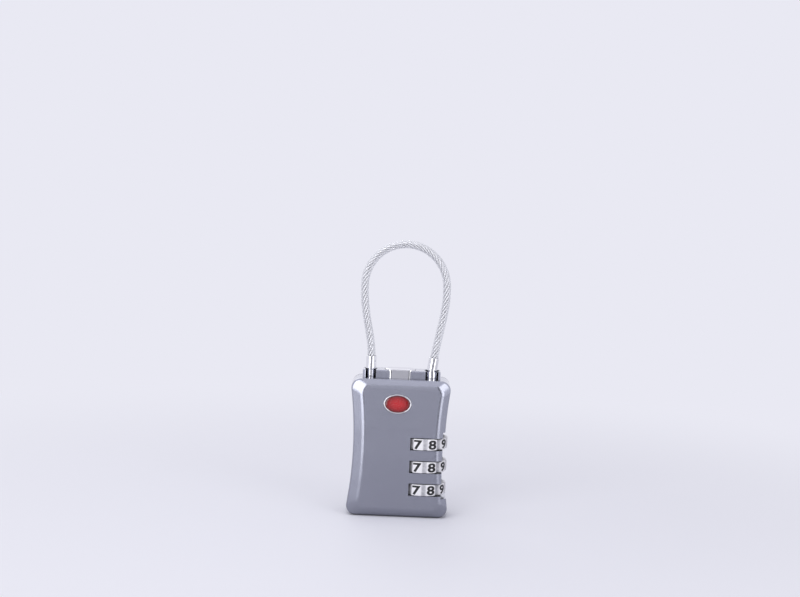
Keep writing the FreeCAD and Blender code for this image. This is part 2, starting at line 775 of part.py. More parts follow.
def cylinder_pin():
    return rod_y(key_x, cylinder_pin_z, key_plug_radius + 0.15, split_y - 0.05, cylinder_pin_radius - 0.03)


# ---- every node ----
def build():
    body = hollow_body()
    nodes = {
        "housing": housing(body),
        "back_cover": back_cover(body),
        "cover_screws": cover_screws(),
        "badge_rim": badge_ring(),
        "badge_disc": badge_disc(),
        "sleeve_washers": sleeve_washers(),
        "stack_end_plug": stack_end_plug(),
        "spindle": spindle(),
        "release_button": release_button(),
        "button_yoke": button_yoke(),
        "button_spring": button_spring(),
        "latch_bolt": latch_bolt(),
        "latch_spring": latch_spring(),
        "socket_bush": socket_bush(),
        "anchor_ferrule": anchor_ferrule(),
        "anchor_pin": anchor_pin(),
        "plug_pin": plug_pin(),
        "plug_ferrule": plug_ferrule(),
        "cable_rope": cable_rope(),
        "cable_jacket": cable_jacket(),
        "cylinder_shell": cylinder_shell(),
        "key_plug": key_plug(),
        "key_wafers": key_wafers(),
        "key_tail": key_tail(),
        "key_cam": key_cam(),
        "cylinder_pin": cylinder_pin(),
    }
    for i, z in enumerate(reversed(dial_z)):
        nodes[f"dial_{i + 1}"] = dial(z)
        nodes[f"dial_sleeve_{i + 1}"] = dial_sleeve(z, i)
        nodes[f"detent_spring_{i + 1}"] = detent_spring(z)
    return nodes


os.makedirs("parts", exist_ok=True)
for name, shape in build().items():
    if not shape.isValid() or any(s.Volume <= 0 for s in shape.Solids):
        print("not a sound solid:", name)
    print(f"{name}: {len(shape.Solids)} solid(s), {shape.Volume:.2f} mm3")
    shape.exportStep(f"parts/{name}.step")

route, bend_radii = cable_path()
section_area = math.pi * cable_diameter ** 2 / 4
print(f"cable length {route.Length:.2f} mm, section x length {section_area * route.Length:.1f} mm3,"
      f" swept {cable_tube(cable_diameter / 2).Volume:.1f} mm3")
print("cable bend radii, mm:", ", ".join(f"{r:.1f}" for r in bend_radii))
print(f"body {2 * waist_half:.2f} wide at the waist, {body_height:.2f} high, {2 * body_half_depth:.2f} deep")
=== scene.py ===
import bmesh
import bpy
import json
import math
import numpy as np
from mathutils import Matrix, Vector

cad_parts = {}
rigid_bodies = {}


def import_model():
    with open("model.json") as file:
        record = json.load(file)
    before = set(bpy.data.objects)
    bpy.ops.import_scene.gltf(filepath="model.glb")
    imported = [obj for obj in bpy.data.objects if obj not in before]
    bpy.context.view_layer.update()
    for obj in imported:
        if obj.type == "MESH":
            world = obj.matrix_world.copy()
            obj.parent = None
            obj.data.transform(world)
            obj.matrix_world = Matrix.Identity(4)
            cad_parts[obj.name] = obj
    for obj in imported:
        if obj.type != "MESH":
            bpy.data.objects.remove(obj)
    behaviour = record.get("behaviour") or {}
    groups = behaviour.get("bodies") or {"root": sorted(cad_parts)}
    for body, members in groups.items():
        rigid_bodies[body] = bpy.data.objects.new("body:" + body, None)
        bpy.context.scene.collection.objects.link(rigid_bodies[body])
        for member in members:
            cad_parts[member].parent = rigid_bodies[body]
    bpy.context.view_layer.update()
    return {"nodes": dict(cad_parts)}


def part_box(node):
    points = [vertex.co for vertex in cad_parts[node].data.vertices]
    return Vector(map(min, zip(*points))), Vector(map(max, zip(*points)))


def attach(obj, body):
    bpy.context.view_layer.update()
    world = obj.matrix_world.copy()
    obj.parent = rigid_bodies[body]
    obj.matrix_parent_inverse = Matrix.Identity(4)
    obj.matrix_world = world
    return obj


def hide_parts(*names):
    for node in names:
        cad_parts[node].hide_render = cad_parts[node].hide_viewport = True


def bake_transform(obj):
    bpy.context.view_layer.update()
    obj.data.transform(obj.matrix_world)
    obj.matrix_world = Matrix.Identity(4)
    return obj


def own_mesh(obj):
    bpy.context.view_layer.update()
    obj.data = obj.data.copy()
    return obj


for leftOver in list(bpy.data.objects):
    bpy.data.objects.remove(leftOver)

mm = 0.001
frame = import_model()
nodes = frame["nodes"]
scene = bpy.context.scene


# Meshes worked out on grids.

def gridPiece(name, points, material, closeU=False, closeV=False):
    # A surface given as an array of points [u, v, xyz]: each cell of the grid becomes one four-sided face.
    # closeU and closeV join the last row or column to the first. A closed surface whose volume comes out
    # negative has its faces turned round.
    countU, countV = points.shape[:2]
    index = np.arange(countU * countV).reshape(countU, countV)
    rowsU = np.arange(countU if closeU else countU - 1)
    colsV = np.arange(countV if closeV else countV - 1)
    u, v = np.meshgrid(rowsU, colsV, indexing="ij")
    uNext, vNext = (u + 1) % countU, (v + 1) % countV
    faces = np.stack([index[u, v], index[uNext, v], index[uNext, vNext], index[u, vNext]], -1).reshape(-1, 4)
    corners = (points.reshape(-1, 3) - points.reshape(-1, 3).mean(0))[faces]
    faceAreas = np.cross(corners[:, 2] - corners[:, 0], corners[:, 3] - corners[:, 1])
    signedVolume = (faceAreas * corners.mean(1)).sum()
    if (closeU or closeV) and signedVolume < 0:
        faces = faces[:, ::-1]
    mesh = bpy.data.meshes.new(name)
    mesh.vertices.add(countU * countV)
    mesh.vertices.foreach_set("co", points.reshape(-1).astype(np.float32))
    mesh.loops.add(faces.size)
    mesh.loops.foreach_set("vertex_index", faces.reshape(-1).astype(np.int32))
    mesh.polygons.add(len(faces))
    mesh.polygons.foreach_set("loop_start", np.arange(0, faces.size, 4, dtype=np.int32))
    mesh.update(calc_edges=True)
    mesh.validate()
    mesh.polygons.foreach_set("use_smooth", np.ones(len(mesh.polygons), bool))
    mesh.materials.append(material)
    piece = bpy.data.objects.new(name, mesh)
    scene.collection.objects.link(piece)
    return piece


def setFloat(piece, name, values):
    # One number for each vertex, for the material to read.
    attribute = piece.data.attributes.new(name, "FLOAT", "POINT")
    attribute.data.foreach_set("value", np.asarray(values, np.float32).reshape(-1))


def readPoints(mesh):
    # The mesh's points as an array [point, xyz].
    co = np.empty(len(mesh.vertices) * 3, np.float32)
    mesh.vertices.foreach_get("co", co)
    return co.reshape(-1, 3)


def curveMesh(curve):
    # A curve or a text as a mesh of its own.
    holder = bpy.data.objects.new("curveHolder", curve)
    scene.collection.objects.link(holder)
    bpy.context.view_layer.update()
    mesh = bpy.data.meshes.new_from_object(holder.evaluated_get(bpy.context.evaluated_depsgraph_get()))
    bpy.data.objects.remove(holder)
    return mesh


sameSpot = 0.0001 * mm


def closePoles(piece):
    # A ring of points drawn together at a pole becomes one point.
    work = bmesh.new()
    work.from_mesh(piece.data)
    bmesh.ops.remove_doubles(work, verts=work.verts, dist=sameSpot)
    work.to_mesh(piece.data)
    work.free()


def joinPieces(name, parts):
    # Several meshes of one finish become one piece.
    bpy.ops.object.select_all(action="DESELECT")
    for part in parts:
        part.select_set(True)
    bpy.context.view_layer.objects.active = parts[0]
    bpy.ops.object.join()
    parts[0].name = name
    parts[0].data.name = name
    return parts[0]


# Shared effects as node groups.

def newGroup(name, inputs, outputs):
    # An empty node group with named sockets, and its two ends.
    group = bpy.data.node_groups.new(name, "ShaderNodeTree")
    for label, kind, value in inputs:
        socket = group.interface.new_socket(label, in_out="INPUT", socket_type=kind)
        socket.default_value = value
    for label, kind in outputs:
        group.interface.new_socket(label, in_out="OUTPUT", socket_type=kind)
    return group, group.nodes.new("NodeGroupInput"), group.nodes.new("NodeGroupOutput")


def addNode(tree, kind, values=None, **settings):
    # A node with its settings, and the values on its sockets.
    node = tree.nodes.new(kind)
    for key, value in settings.items():
        setattr(node, key, value)
    for key, value in (values or {}).items():
        node.inputs[key].default_value = value
    return node


def mathNode(tree, operation, a, b=None, clamp=False):
    # a and b are numbers or sockets.
    node = addNode(tree, "ShaderNodeMath", operation=operation, use_clamp=clamp)
    for socket, value in zip(node.inputs, (a, b)):
        if value is None:
            continue
        if isinstance(value, (int, float)):
            socket.default_value = value
        else:
            tree.links.new(value, socket)
    return node.outputs[0]


def mapRange(tree, value, low, high, toLow=0.0, toHigh=1.0):
    node = addNode(tree, "ShaderNodeMapRange", {"From Min": low, "From Max": high,
                                                "To Min": toLow, "To Max": toHigh})
    tree.links.new(value, node.inputs["Value"])
    return node.outputs["Result"]


def noiseOver(tree, scale, detail):
    # Noise over the piece's own coordinates.
    coords = addNode(tree, "ShaderNodeTexCoord")
    noise = addNode(tree, "ShaderNodeTexNoise", {"Scale": scale, "Detail": detail})
    tree.links.new(coords.outputs["Object"], noise.inputs["Vector"])
    return noise.outputs[0]


# Noise settings for edge wear, handling marks, and the painted shade laid into crevices.
effects = {"wearTurn": (0.998, 0.93), "wearNoise": 900.0, "wearBreak": (0.45, 0.65),
           "smudgeSpan": (0.35, 0.7), "scratchSpan": (0.68, 0.76), "scratchStretch": (1.0, 1.0, 0.03),
           "scratchTurns": ((0.12, 0.4, 0.2), (0.57, 1.9, 0.2)), "creviceShadeNoise": 1100.0,
           "creviceShadeBreak": (0.3, 0.6, 0.75, 1.0)}


def makeWearGroup():
    # Edge mask: how far the rounded normal near an edge turns from the true one, broken up by noise.
    group, given, out = newGroup("edgeWear", [("Width", "NodeSocketFloat", 0.3 * mm),
                                              ("Amount", "NodeSocketFloat", 1.0)],
                                 [("Mask", "NodeSocketFloat")])
    link = group.links.new
    bevel = addNode(group, "ShaderNodeBevel", samples=4)
    link(given.outputs["Width"], bevel.inputs["Radius"])
    geometry = addNode(group, "ShaderNodeNewGeometry")
    dot = addNode(group, "ShaderNodeVectorMath", operation="DOT_PRODUCT")
    link(bevel.outputs[0], dot.inputs[0])
    link(geometry.outputs["Normal"], dot.inputs[1])
    turned = mapRange(group, dot.outputs["Value"], *effects["wearTurn"])
    broken = mapRange(group, noiseOver(group, effects["wearNoise"], detail=4.0), *effects["wearBreak"])
    masked = mathNode(group, "MULTIPLY", turned, broken)
    link(mathNode(group, "MULTIPLY", masked, given.outputs["Amount"], clamp=True), out.inputs["Mask"])
    return group


def makeHandlingGroup():
    # Handling marks: broad soft smudges for roughness, and hair-fine scratches as a height.
    group, given, out = newGroup("handlingMarks", [("Smudge Scale", "NodeSocketFloat", 120.0),
                                                   ("Scratch Scale", "NodeSocketFloat", 500.0)],
                                 [("Smudge", "NodeSocketFloat"), ("Scratch", "NodeSocketFloat")])
    link = group.links.new
    coords = addNode(group, "ShaderNodeTexCoord")
    smudge = addNode(group, "ShaderNodeTexNoise", {"Detail": 3.0, "Roughness": 0.6})
    link(coords.outputs["Object"], smudge.inputs["Vector"])
    link(given.outputs["Smudge Scale"], smudge.inputs["Scale"])
    link(mapRange(group, smudge.outputs[0], *effects["smudgeSpan"]), out.inputs["Smudge"])
    heights = []
    for turn in effects["scratchTurns"]:
        mapping = addNode(group, "ShaderNodeMapping")
        mapping.inputs["Rotation"].default_value = turn
        mapping.inputs["Scale"].default_value = effects["scratchStretch"]
        link(coords.outputs["Object"], mapping.inputs["Vector"])
        lines = addNode(group, "ShaderNodeTexNoise", {"Detail": 2.0})
        link(mapping.outputs[0], lines.inputs["Vector"])
        link(given.outputs["Scratch Scale"], lines.inputs["Scale"])
        heights.append(mapRange(group, lines.outputs[0], *effects["scratchSpan"]))
    link(mathNode(group, "ADD", heights[0], heights[1], clamp=True), out.inputs["Scratch"])
    return group


def makeFlakeGroup():
    # Metallic flake: tiny cells, each with its own brightness.
    group, given, out = newGroup("paintFlake", [("Scale", "NodeSocketFloat", 7000.0)],
                                 [("Flake", "NodeSocketFloat")])
    coords = addNode(group, "ShaderNodeTexCoord")
    cells = addNode(group, "ShaderNodeTexVoronoi")
    group.links.new(coords.outputs["Object"], cells.inputs["Vector"])
    group.links.new(given.outputs["Scale"], cells.inputs["Scale"])
    split = addNode(group, "ShaderNodeSeparateColor")
    group.links.new(cells.outputs["Color"], split.inputs[0])
    group.links.new(split.outputs[0], out.inputs["Flake"])
    return group


def makeBrushGroup():
    # Drawn or turned metal: noise stretched along one axis.
    group, given, out = newGroup("brushedLines", [("Stretch", "NodeSocketVector", (1.0, 1.0, 0.04)),
                                                  ("Scale", "NodeSocketFloat", 4000.0)],
                                 [("Lines", "NodeSocketFloat")])
    coords = addNode(group, "ShaderNodeTexCoord")
    scaled = addNode(group, "ShaderNodeVectorMath", operation="MULTIPLY")
    group.links.new(coords.outputs["Object"], scaled.inputs[0])
    group.links.new(given.outputs["Stretch"], scaled.inputs[1])
    noise = addNode(group, "ShaderNodeTexNoise", {"Detail": 3.0})
    group.links.new(scaled.outputs[0], noise.inputs["Vector"])
    group.links.new(given.outputs["Scale"], noise.inputs["Scale"])
    group.links.new(noise.outputs[0], out.inputs["Lines"])
    return group


def makeCreviceGroup():
    # Painted shade mask: how closed in a point is by what stands around it, broken up by noise.
    group, given, out = newGroup("crevicePaintedShade", [("Reach", "NodeSocketFloat", 1.0 * mm),
                                                  ("Clean Above", "NodeSocketFloat", 0.62),
                                                  ("Full Below", "NodeSocketFloat", 0.30),
                                                  ("Amount", "NodeSocketFloat", 1.0)],
                                 [("Mask", "NodeSocketFloat")])
    link = group.links.new
    closed = addNode(group, "ShaderNodeAmbientOcclusion", samples=8)
    link(given.outputs["Reach"], closed.inputs["Distance"])
    deepen = addNode(group, "ShaderNodeMapRange")
    link(closed.outputs["AO"], deepen.inputs["Value"])
    link(given.outputs["Clean Above"], deepen.inputs["From Min"])
    link(given.outputs["Full Below"], deepen.inputs["From Max"])
    uneven = mapRange(group, noiseOver(group, effects["creviceShadeNoise"], detail=3.0), *effects["creviceShadeBreak"])
    masked = mathNode(group, "MULTIPLY", deepen.outputs["Result"], uneven)
    link(mathNode(group, "MULTIPLY", masked, given.outputs["Amount"], clamp=True), out.inputs["Mask"])
    return group


wearGroup = makeWearGroup()
creviceGroup = makeCreviceGroup()
handlingGroup = makeHandlingGroup()
flakeGroup = makeFlakeGroup()
brushGroup = makeBrushGroup()


def newMaterial(name, color, metallic=0.0, roughness=0.4, coat=0.0, coatRoughness=0.05, ior=1.5):
    material = bpy.data.materials.new(name)
    material.use_nodes = True
    tree = material.node_tree
    shader = tree.nodes["Principled BSDF"]
    shader.inputs["Base Color"].default_value = (*color, 1.0)
    shader.inputs["Metallic"].default_value = metallic
    shader.inputs["Roughness"].default_value = roughness
    shader.inputs["Coat Weight"].default_value = coat
    shader.inputs["Coat Roughness"].default_value = coatRoughness
    shader.inputs["IOR"].default_value = ior
    return material, tree, shader


def placeGroup(tree, group, values=None):
    return addNode(tree, "ShaderNodeGroup", values, node_tree=group)


def mixColors(tree, factor, a, b):
    # a and b are colours or sockets.
    node = addNode(tree, "ShaderNodeMix", data_type="RGBA")
    tree.links.new(factor, node.inputs["Factor"])
    for socket, value in ((node.inputs[6], a), (node.inputs[7], b)):
        if isinstance(value, tuple):
            socket.default_value = (*value, 1.0)
        else:
            tree.links.new(value, socket)
    return node.outputs[2]


def addBump(tree, shader, height, distance, strength=1.0, normal=None):
    # Feeds a height to the shader's normal, on top of an earlier bump's normal where there is one.
    bump = addNode(tree, "ShaderNodeBump", {"Distance": distance, "Strength": strength})
    tree.links.new(height, bump.inputs["Height"])
    if normal is not None:
        tree.links.new(normal, bump.inputs["Normal"])
    tree.links.new(bump.outputs[0], shader.inputs["Normal"])
    return bump.outputs[0]


# Materials. Most read the middle part of the noise's values.

noiseSpan = (0.3, 0.7)

# The near-black colour that the crevice mask lays into hollows is painted shade.
paint = {"color": (0.400, 0.413, 0.490), "flakeColor": (0.56, 0.575, 0.65), "worn": (0.58, 0.59, 0.64),
         "creviceShade": (0.030, 0.030, 0.034), "flakeSpan": (0.55, 1.0, 0.0, 0.4), "roughness": (0.16, 0.25),
         "marks": {"Smudge Scale": 90.0, "Scratch Scale": 700.0},
         "wear": {"Width": 0.16 * mm, "Amount": 0.35},
         "crevice": {"Reach": 1.1 * mm, "Amount": 0.85}, "peelScale": 520.0, "peelDepth": 0.0025 * mm,
         "scratchDepth": 0.002 * mm, "scratchStrength": 0.6}


def makePaint():
    # Glossy paint: flake in the colour, wear at the edges, painted shade in the crevices, orange peel and
    # fine scratches as heights.
    material, tree, shader = newMaterial("bodyPaint", paint["color"], metallic=0.8, roughness=0.25,
                                         coat=1.0, coatRoughness=0.04)
    flake = placeGroup(tree, flakeGroup)
    marks = placeGroup(tree, handlingGroup, paint["marks"])
    wear = placeGroup(tree, wearGroup, paint["wear"])
    creviceShade = placeGroup(tree, creviceGroup, paint["crevice"])
    amount = mapRange(tree, flake.outputs[0], *paint["flakeSpan"])
    flaked = mixColors(tree, amount, paint["color"], paint["flakeColor"])
    worn = mixColors(tree, wear.outputs[0], flaked, paint["worn"])
    tree.links.new(mixColors(tree, creviceShade.outputs[0], worn, paint["creviceShade"]), shader.inputs["Base Color"])
    rough = mapRange(tree, marks.outputs["Smudge"], 0.0, 1.0, *paint["roughness"])
    tree.links.new(rough, shader.inputs["Roughness"])
    peel = addBump(tree, shader, noiseOver(tree, paint["peelScale"], detail=2.0), paint["peelDepth"])
    scratched = mathNode(tree, "MULTIPLY", marks.outputs["Scratch"], -1.0)
    addBump(tree, shader, scratched, paint["scratchDepth"], paint["scratchStrength"], normal=peel)
    return material


turned = {"stretch": (1.0, 1.0, 14.0), "lines": 900.0}
drawn = {"stretch": (1.0, 1.0, 0.1), "lines": 4000.0}
metals = {
    "chromePlate": {"color": (0.82, 0.82, 0.84), "roughness": 0.05},
    "turnedSteel": {"color": (0.55, 0.55, 0.56), "roughness": 0.22, **turned},
    "springSteel": {"color": (0.46, 0.46, 0.48), "roughness": 0.25, **drawn},
    "turnedBrass": {"color": (0.66, 0.47, 0.20), "roughness": 0.2, **turned},
}
metalMarks = {"handling": {"Smudge Scale": 260.0, "Scratch Scale": 1100.0}, "smudge": 0.06,
              "lineDepth": 0.002 * mm, "scratchDepth": 0.0015 * mm, "scratchStrength": 0.5}


def makeMetal(name):
    # Bare or plated metal: roughness from smudges, height from drawn lines or fine scratches.
    look = metals[name]
    smooth, dull = look["roughness"], look["roughness"] + metalMarks["smudge"]
    material, tree, shader = newMaterial(name, look["color"], metallic=1.0, roughness=smooth)
    marks = placeGroup(tree, handlingGroup, metalMarks["handling"])
    rough = mapRange(tree, marks.outputs["Smudge"], 0.0, 1.0, smooth, dull)
    tree.links.new(rough, shader.inputs["Roughness"])
    if "stretch" in look:
        lines = placeGroup(tree, brushGroup, {"Stretch": look["stretch"], "Scale": look["lines"]})
        addBump(tree, shader, lines.outputs[0], metalMarks["lineDepth"])
    else:
        scratched = mathNode(tree, "MULTIPLY", marks.outputs["Scratch"], -1.0)
        addBump(tree, shader, scratched, metalMarks["scratchDepth"], metalMarks["scratchStrength"])
    return material


# The grey for the scallops and the near black for the windows are painted shade.
dialWhite = {"color": (0.88, 0.87, 0.90), "scallopShade": (0.36, 0.36, 0.40), "creviceShade": (0.05, 0.05, 0.055),
             "noiseScale": 1400.0, "speckSpan": (0.3, 0.75, 0.5, 1.0), "roughness": (0.26, 0.42),
             "crevice": {"Reach": 2.2 * mm, "Clean Above": 0.80, "Full Below": 0.45},
             "grainDepth": 0.003 * mm, "grainStrength": 0.5}


def makeDialPlastic():
    # White plastic: the attribute "groove" greys the scallops with painted shade, broken into specks by
    # noise, and the crevice mask darkens what lies inside the windows with painted shade.
    material, tree, shader = newMaterial("dialPlastic", dialWhite["color"], roughness=0.32, coat=0.15)
    groove = addNode(tree, "ShaderNodeAttribute", attribute_name="groove")
    noise = noiseOver(tree, dialWhite["noiseScale"], detail=4.0)
    speck = mapRange(tree, noise, *dialWhite["speckSpan"])
    scallopShade = mathNode(tree, "MULTIPLY", groove.outputs["Fac"], speck, clamp=True)
    shade = mixColors(tree, scallopShade, dialWhite["color"], dialWhite["scallopShade"])
    creviceShade = placeGroup(tree, creviceGroup, dialWhite["crevice"])
    tree.links.new(mixColors(tree, creviceShade.outputs[0], shade, dialWhite["creviceShade"]), shader.inputs["Base Color"])
    tree.links.new(mapRange(tree, noise, *noiseSpan, *dialWhite["roughness"]), shader.inputs["Roughness"])
    addBump(tree, shader, noise, dialWhite["grainDepth"], dialWhite["grainStrength"])
    return material


ink = {"color": (0.010, 0.010, 0.012), "thin": (0.07, 0.07, 0.08), "noiseScale": 2600.0,
       "thinSpan": (0.62, 0.8, 0.0, 0.5), "roughness": (0.3, 0.5)}


def makeInk():
    # Printed digits: near black, a little uneven.
    material, tree, shader = newMaterial("digitInk", ink["color"], roughness=0.38)
    noise = noiseOver(tree, ink["noiseScale"], detail=3.0)
    patch = mapRange(tree, noise, *ink["thinSpan"])
    tree.links.new(mixColors(tree, patch, ink["color"], ink["thin"]), shader.inputs["Base Color"])
    tree.links.new(mapRange(tree, noise, *noiseSpan, *ink["roughness"]), shader.inputs["Roughness"])
    return material


enamel = {"color": (0.42, 0.008, 0.012), "middle": (0.52, 0.012, 0.016), "rim": (0.12, 0.002, 0.004),
          "noiseScale": 1800.0, "mottle": (-0.12, 0.12), "falloff": 2.2, "roughness": (0.2, 0.32)}


def makeEnamel():
    # Red enamel: darker towards the rim, with a fine mottle under a clear coat.
    material, tree, shader = newMaterial("redEnamel", enamel["color"], roughness=0.25, coat=1.0,
                                         coatRoughness=0.03)
    edge = addNode(tree, "ShaderNodeAttribute", attribute_name="rimward")
    noise = noiseOver(tree, enamel["noiseScale"], detail=5.0)
    mottle = mapRange(tree, noise, *noiseSpan, *enamel["mottle"])
    rimward = mathNode(tree, "POWER", edge.outputs["Fac"], enamel["falloff"])
    depth = mathNode(tree, "ADD", rimward, mottle, clamp=True)
    tree.links.new(mixColors(tree, depth, enamel["middle"], enamel["rim"]), shader.inputs["Base Color"])
    tree.links.new(mapRange(tree, noise, *noiseSpan, *enamel["roughness"]), shader.inputs["Roughness"])
    return material


vinyl = {"color": (0.90, 0.91, 0.95), "noiseScale": 700.0, "facing": 0.35, "haze": (0.14, 0.26),
         "edge": (0.2, 1.0, 0.0, 0.6), "roughness": (0.08, 0.2)}


def makeVinyl():
    # Clear coat of the cable: mostly see-through and glossy, with a faint uneven haze and denser edges.
    material, tree, shader = newMaterial("clearVinyl", vinyl["color"], roughness=0.12, coat=0.6,
                                         coatRoughness=0.04, ior=1.45)
    noise = noiseOver(tree, vinyl["noiseScale"], detail=3.0)
    facing = addNode(tree, "ShaderNodeLayerWeight", {"Blend": vinyl["facing"]})
    haze = mapRange(tree, noise, *noiseSpan, *vinyl["haze"])
    edge = mapRange(tree, facing.outputs["Facing"], *vinyl["edge"])
    tree.links.new(mathNode(tree, "ADD", haze, edge, clamp=True), shader.inputs["Alpha"])
    tree.links.new(mapRange(tree, noise, *noiseSpan, *vinyl["roughness"]), shader.inputs["Roughness"])
    return material


# The valley colour is painted shade between the strands.
ropeWire = {"color": (0.60, 0.60, 0.62), "crest": (0.92, 0.92, 0.94), "valley": (0.15, 0.15, 0.16),
            "noiseScale": 1500.0, "uneven": (0.8, 1.0), "roughness": (0.2, 0.34)}


def makeRopeSteel():
    # Drawn steel wires: the attribute "sunken" darkens the valleys between the strands with painted shade.
    material, tree, shader = newMaterial("ropeSteel", ropeWire["color"], metallic=1.0, roughness=0.26)
    sunken = addNode(tree, "ShaderNodeAttribute", attribute_name="sunken")
    noise = noiseOver(tree, ropeWire["noiseScale"], detail=3.0)
    uneven = mapRange(tree, noise, *noiseSpan, *ropeWire["uneven"])
    deep = mathNode(tree, "MULTIPLY", sunken.outputs["Fac"], uneven, clamp=True)
    tree.links.new(mixColors(tree, deep, ropeWire["crest"], ropeWire["valley"]), shader.inputs["Base Color"])
    tree.links.new(mapRange(tree, noise, *noiseSpan, *ropeWire["roughness"]), shader.inputs["Roughness"])
    return material


sleeve = {"color": (0.02, 0.02, 0.022), "lines": 3000.0, "lineDepth": 0.004 * mm}


def makeSleevePlastic():
    # Black moulded plastic with faint turned lines.
    material, tree, shader = newMaterial("sleevePlastic", sleeve["color"], roughness=0.5)
    lines = placeGroup(tree, brushGroup, {"Scale": sleeve["lines"]})
    addBump(tree, shader, lines.outputs[0], sleeve["lineDepth"])
    return material


bodyPaint = makePaint()
chrome = makeMetal("chromePlate")
turnedSteel = makeMetal("turnedSteel")
springSteel = makeMetal("springSteel")
brass = makeMetal("turnedBrass")
ropeSteel = makeRopeSteel()
dialPlastic = makeDialPlastic()
digitInk = makeInk()
redEnamel = makeEnamel()
clearVinyl = makeVinyl()
sleevePlastic = makeSleevePlastic()

# The nodes that aren't here are replaced further down.
nodeFinish = {
    bodyPaint: ["housing", "back_cover"],
    chrome: ["release_button", "socket_bush", "anchor_ferrule", "plug_pin", "plug_ferrule"],
    turnedSteel: ["cover_screws", "sleeve_washers", "stack_end_plug", "spindle", "button_yoke", "latch_bolt",
                  "anchor_pin", "key_tail", "key_cam", "cylinder_pin"],
    brass: ["cylinder_shell", "key_plug", "key_wafers"],
    sleevePlastic: ["dial_sleeve_1", "dial_sleeve_2", "dial_sleeve_3"],
}
for finish, names in nodeFinish.items():
    for name in names:
        nodes[name].material_slots[0].material = finish
print("materials placed on", sum(len(names) for names in nodeFinish.values()), "nodes")


# Number dials: the wheel's own sizes, its digits, and how finely they are drawn.

dials = {"positions": 10, "around": 480, "edgeSteps": 5, "faceSteps": 5, "padDrop": 0.04 * mm,
         "scallopRadius": 1.1 * mm, "scallopDepth": 0.42 * mm, "ribPitch": 0.52 * mm,
         "ribHeight": 0.09 * mm, "ribsBelow": 0.12 * mm, "edgeRound": 0.28 * mm, "rimWidth": 1.3 * mm,
         "rimFoot": 1.45 * mm, "sink": 0.12 * mm, "bore": 3.66 * mm, "boreRim": 0.5 * mm,
         "boreDrop": 0.1 * mm, "scallopShadeSpread": 0.7}
digits = {"first": 7, "firstAngle": -104.0, "height": 2.9 * mm, "width": 1.34, "boldness": 0.032,
          "textDepth": 0.01, "textMerge": 0.0001, "textThin": 0.0006, "cuts": 8,
          "inkLift": 0.028 * mm, "inkRoot": 0.05 * mm}


def digitAngle(digit):
    # Where a digit's middle stands round the wheel: even steps, counted from the first digit's place.
    return math.radians(digits["firstAngle"] + 360.0 / dials["positions"] * (digit - digits["first"]))


def dialSurface(name, centre, radius, low, high):
    # Radius over the angle: a circle, less ten round scallops midway between digits, plus small ribs in them.
    # The profile is carried round: rounded outer edges, flat ends, and the bore.
    turn = np.linspace(0, 2 * np.pi, dials["around"], endpoint=False)
    step = 2 * np.pi / dials["positions"]
    offset = (turn - digitAngle(0)) % step - step / 2
    reach = radius + dials["scallopRadius"] - dials["scallopDepth"]
    inside = np.maximum(dials["scallopRadius"] ** 2 - (reach * np.sin(offset)) ** 2, 0)
    scallop = np.where(inside > 0, reach * np.cos(offset) - np.sqrt(inside), radius)
    depth = np.clip(radius - scallop, 0, None)
    ribs = dials["ribHeight"] * np.cos(offset * radius / dials["ribPitch"] * 2 * np.pi)
    outer = radius - depth + np.clip(ribs * (depth > dials["ribsBelow"]), 0, None)
    corner = dials["edgeRound"]
    bend = np.linspace(0, np.pi / 2, dials["edgeSteps"])
    edge, lift = corner * (1 - np.sin(bend)), corner * (1 - np.cos(bend))
    face = np.linspace(low + corner, high - corner, dials["faceSteps"] + 2)[1:-1]
    drop = np.concatenate([edge, np.zeros(len(face)), edge[::-1]])
    height = np.concatenate([low + lift, face, high - lift[::-1]])
    outerPart = outer[:, None] - drop[None, :]
    halfRadius = np.array([radius - dials["rimWidth"], radius - dials["rimFoot"],
                           dials["bore"] + dials["boreRim"], dials["bore"]])
    innerRadius = np.concatenate([halfRadius, halfRadius[::-1]])
    sink = dials["sink"]
    innerHeight = np.array([high, high - sink, high - sink, high - sink - dials["boreDrop"],
                            low + sink + dials["boreDrop"], low + sink, low + sink, low])
    r = np.concatenate([outerPart, np.tile(innerRadius, (len(turn), 1))], 1)
    z = np.tile(np.concatenate([height, innerHeight]), (len(turn), 1))
    points = np.stack([centre + r * np.cos(turn)[:, None], r * np.sin(turn)[:, None], z], -1)
    wheel = gridPiece(name, points, dialPlastic, closeU=True, closeV=True)
    # groove: how deep each point lies in its scallop; the material greys the deep parts as painted shade.
    groove = np.zeros(r.shape)
    share = np.clip(depth / dials["scallopDepth"], 0, 1)
    groove[:, :outerPart.shape[1]] = share[:, None] ** dials["scallopShadeSpread"]
    setFloat(wheel, "groove", groove)
    return wheel


def digitMesh(digit):
    # The digit as flat text with a little thickness.
    curve = bpy.data.curves.new("digitCurve", "FONT")
    curve.body = str(digit)
    curve.size = 1.0
    curve.offset = digits["boldness"]
    curve.extrude = digits["textDepth"]
    return curveMesh(curve)


def sliceUpright(mesh):
    # Upright cuts at even steps, so that the flat digit can follow the wheel's curve.
    work = bmesh.new()
    work.from_mesh(mesh)
    bmesh.ops.remove_doubles(work, verts=work.verts, dist=digits["textMerge"])
    work.to_mesh(mesh)
    x = readPoints(mesh)[:, 0].astype(float)
    low, high = x.min(), x.max()
    for k in range(1, digits["cuts"]):
        everything = work.verts[:] + work.edges[:] + work.faces[:]
        place = Vector((low + (high - low) * k / digits["cuts"], 0, 0))
        bmesh.ops.bisect_plane(work, geom=everything, plane_co=place, plane_no=Vector((1, 0, 0)))
    bmesh.ops.dissolve_degenerate(work, edges=work.edges, dist=digits["textThin"])
    work.to_mesh(mesh)
    work.free()


